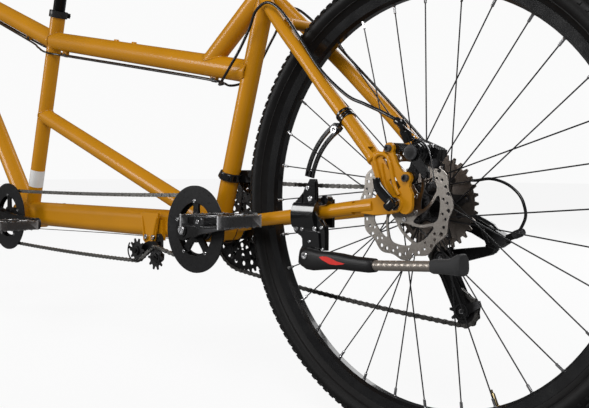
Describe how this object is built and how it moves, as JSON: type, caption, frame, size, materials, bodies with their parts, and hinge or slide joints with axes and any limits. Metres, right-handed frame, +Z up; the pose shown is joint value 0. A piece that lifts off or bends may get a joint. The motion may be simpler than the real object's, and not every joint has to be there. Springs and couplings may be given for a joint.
{
  "type": "tandem bicycle",
  "caption": "Yellow tandem bicycle with welded twin-triangle frame, disc brakes, derailleur drivetrain, left timing chain with tensioner and a folding side stand.",
  "frame": {"origin": "on the ground under the middle of the bicycle's overall length", "axes": "+X forward in the riding direction, +Y to the riders' left, +Z up"},
  "size_m": [2.522, 0.7126, 1.056],
  "materials": {
    "frame_paint": "gloss mustard yellow",
    "black_metal": "satin black anodised",
    "black_plastic": "satin black",
    "bare_steel": "bright",
    "dark_steel": "grey-brown",
    "chain_steel": "bright",
    "tyre_rubber": "matt",
    "grip_rubber": "matt",
    "rim_black": "gloss black",
    "spoke_black": "satin black",
    "saddle_cover": "matt black synthetic",
    "cable_sheath": "black"
  },
  "bodies": {
    "frame": {"frame_shells": "frame_paint", "top_tube": "frame_paint", "seat_tubes": "frame_paint", "sloping_tubes": "frame_paint", "boom_tube": "frame_paint", "rear_stays": "frame_paint", "dropouts": "frame_paint", "bearing_cups": "black_metal", "seat_clamps": "black_metal", "rear_caliper": "black_metal", "front_derailleur": "black_metal", "tensioner_arm": "black_metal", "kickstand_mount": "black_metal", "rear_axle": "bare_steel", "drive_chain": "chain_steel", "timing_chain": "chain_steel", "cables": "cable_sheath", "rear_derailleur": "black_metal"},
    "rear_wheel": {"rear_tyre": "tyre_rubber", "rear_rim": "rim_black", "rear_spokes": "spoke_black", "rear_hub": "black_metal", "rear_rotor": "bare_steel"},
    "cassette": {"cassette": "dark_steel"},
    "steering": {"fork": "frame_paint", "handlebar": "black_metal", "handlebar_grips": "grip_rubber", "front_caliper": "black_metal", "lever_clamps": "black_metal"},
    "front_wheel": {"front_tyre": "tyre_rubber", "front_rim": "rim_black", "front_spokes": "spoke_black", "front_hub": "black_metal", "front_rotor": "bare_steel"},
    "left_brake_lever": {"left_brake_lever": "black_metal"},
    "right_brake_lever": {"right_brake_lever": "black_metal"},
    "left_shifter": {"left_shifter": "black_plastic"},
    "right_shifter": {"right_shifter": "black_plastic"},
    "front_seatpost": {"front_seatpost": "black_metal", "front_saddle": "saddle_cover", "stoker_handlebar": "black_metal", "stoker_grips": "grip_rubber"},
    "rear_seatpost": {"rear_seatpost": "black_metal", "rear_saddle": "saddle_cover"},
    "front_crankset": {"front_crankset": "black_metal"},
    "rear_crankset": {"rear_crankset": "black_metal"},
    "front_left_pedal": {"front_left_pedal": "black_metal"},
    "front_right_pedal": {"front_right_pedal": "black_metal"},
    "rear_left_pedal": {"rear_left_pedal": "black_metal"},
    "rear_right_pedal": {"rear_right_pedal": "black_metal"},
    "rear_brake_arm": {"rear_brake_arm": "black_metal"},
    "front_derailleur_cage": {"front_derailleur_cage": "black_metal"},
    "derailleur_link": {"derailleur_link": "black_metal"},
    "derailleur_cage": {"derailleur_cage": "black_metal"},
    "upper_jockey": {"upper_jockey": "black_plastic"},
    "lower_jockey": {"lower_jockey": "black_plastic"},
    "front_idler": {"front_idler": "black_plastic"},
    "rear_idler": {"rear_idler": "black_plastic"},
    "kickstand_leg": {"kickstand_leg": "black_metal"},
    "rear_qr_lever": {"rear_qr_lever": "black_metal"}
  },
  "joints": [
    {"name": "steer", "type": "hinge", "parent": "frame", "child": "steering", "pos_m": [0.70337, 0, 0.8001], "axis": [-0.3256, 0, 0.9455], "range_deg": [-60, 60], "deforming": ["cables"]},
    {"name": "front_wheel_spin", "type": "hinge", "parent": "steering", "child": "front_wheel", "pos_m": [0.903, 0, 0.358], "axis": [0, 1, 0], "continuous": true},
    {"name": "rear_wheel_spin", "type": "hinge", "parent": "frame", "child": "rear_wheel", "pos_m": [-0.903, 0, 0.358], "axis": [0, 1, 0], "continuous": true},
    {"name": "rear_crank_spin", "type": "hinge", "parent": "frame", "child": "rear_crankset", "pos_m": [-0.451, 0, 0.298], "axis": [0, 1, 0], "continuous": true, "deforming": ["drive_chain", "timing_chain"]},
    {"name": "front_crank_spin", "type": "hinge", "parent": "frame", "child": "front_crankset", "pos_m": [0.243, 0, 0.292], "axis": [0, 1, 0], "continuous": true, "deforming": ["timing_chain"]},
    {"name": "cassette_spin", "type": "hinge", "parent": "frame", "child": "cassette", "pos_m": [-0.903, 0, 0.358], "axis": [0, 1, 0], "continuous": true, "deforming": ["drive_chain"]},
    {"name": "front_idler_spin", "type": "hinge", "parent": "frame", "child": "front_idler", "pos_m": [-0.266, 0, 0.247], "axis": [0, 1, 0], "continuous": true},
    {"name": "rear_idler_spin", "type": "hinge", "parent": "frame", "child": "rear_idler", "pos_m": [-0.326, 0, 0.237], "axis": [0, 1, 0], "continuous": true},
    {"name": "front_left_pedal_spin", "type": "hinge", "parent": "front_crankset", "child": "front_left_pedal", "pos_m": [0.07323, 0, 0.2831], "axis": [0, 1, 0], "continuous": true},
    {"name": "front_right_pedal_spin", "type": "hinge", "parent": "front_crankset", "child": "front_right_pedal", "pos_m": [0.41277, 0, 0.3009], "axis": [0, 1, 0], "continuous": true},
    {"name": "rear_left_pedal_spin", "type": "hinge", "parent": "rear_crankset", "child": "rear_left_pedal", "pos_m": [-0.61891, 0, 0.32459], "axis": [0, 1, 0], "continuous": true},
    {"name": "rear_right_pedal_spin", "type": "hinge", "parent": "rear_crankset", "child": "rear_right_pedal", "pos_m": [-0.28309, 0, 0.27141], "axis": [0, 1, 0], "continuous": true},
    {"name": "rear_shift", "type": "slide", "parent": "frame", "child": "derailleur_link", "axis": [0, 0.8396, -0.5433], "range_m": [0, 0.038], "deforming": ["drive_chain", "cables"]},
    {"name": "cage_swing", "type": "hinge", "parent": "derailleur_link", "child": "derailleur_cage", "pos_m": [-0.895, 0, 0.272], "axis": [0, 1, 0], "range_deg": [-15, 45], "stiffness_Nm_per_rad": 0.5, "deforming": ["drive_chain"]},
    {"name": "upper_jockey_spin", "type": "hinge", "parent": "derailleur_cage", "child": "upper_jockey", "pos_m": [-0.895, 0, 0.272], "axis": [0, 1, 0], "continuous": true},
    {"name": "lower_jockey_spin", "type": "hinge", "parent": "derailleur_cage", "child": "lower_jockey", "pos_m": [-0.933, 0, 0.197], "axis": [0, 1, 0], "continuous": true},
    {"name": "front_shift", "type": "slide", "parent": "frame", "child": "front_derailleur_cage", "axis": [0, 1, 0], "range_m": [0, 0.014], "deforming": ["drive_chain", "cables"]},
    {"name": "left_lever_pull", "type": "hinge", "parent": "steering", "child": "left_brake_lever", "pos_m": [0.74436, 0.19956, 1.03503], "axis": [0.0028, -0.0186, 0.9998], "range_deg": [0, 14], "stiffness_Nm_per_rad": 1},
    {"name": "right_lever_pull", "type": "hinge", "parent": "steering", "child": "right_brake_lever", "pos_m": [0.74436, -0.19956, 1.03503], "axis": [-0.0028, -0.0186, -0.9998], "range_deg": [0, 14], "stiffness_Nm_per_rad": 1},
    {"name": "left_shifter_push", "type": "hinge", "parent": "steering", "child": "left_shifter", "pos_m": [0.70007, 0.1849, 1.02488], "axis": [0.0028, -0.0186, 0.9998], "range_deg": [0, 25]},
    {"name": "right_shifter_push", "type": "hinge", "parent": "steering", "child": "right_shifter", "pos_m": [0.70007, -0.1849, 1.02488], "axis": [-0.0028, -0.0186, -0.9998], "range_deg": [0, 25]},
    {"name": "rear_brake_arm_turn", "type": "hinge", "parent": "frame", "child": "rear_brake_arm", "pos_m": [-0.9373, 0.051, 0.4283], "axis": [0, 1, 0], "range_deg": [0, 17], "deforming": ["cables"]},
    {"name": "front_saddle_height", "type": "slide", "parent": "frame", "child": "front_seatpost", "axis": [-0.2639, 0, 0.9646], "range_m": [-0.03, 0.08]},
    {"name": "rear_saddle_height", "type": "slide", "parent": "frame", "child": "rear_seatpost", "axis": [-0.2807, 0, 0.9598], "range_m": [-0.06, 0.08]},
    {"name": "side_stand_swing", "type": "hinge", "parent": "frame", "child": "kickstand_leg", "pos_m": [-0.755, 0.084, 0.277], "axis": [0, -1, 0], "range_deg": [0, 110]},
    {"name": "quick_release_flip", "type": "hinge", "parent": "frame", "child": "rear_qr_lever", "pos_m": [-0.903, 0.0855, 0.358], "axis": [-0.766, 0, 0.6428], "range_deg": [0, 150]}
  ],
  "couplings": [
    {"joint": "front_crank_spin", "follows": "rear_crank_spin", "ratio": 1},
    {"joint": "cassette_spin", "follows": "rear_crank_spin", "ratio": 3.8182},
    {"joint": "upper_jockey_spin", "follows": "rear_crank_spin", "ratio": -3.8182},
    {"joint": "lower_jockey_spin", "follows": "rear_crank_spin", "ratio": 3.8182},
    {"joint": "front_idler_spin", "follows": "rear_crank_spin", "ratio": 3},
    {"joint": "rear_idler_spin", "follows": "rear_crank_spin", "ratio": -3},
    {"joint": "rear_brake_arm_turn", "follows": "right_lever_pull", "ratio": 1.2}
  ]
}
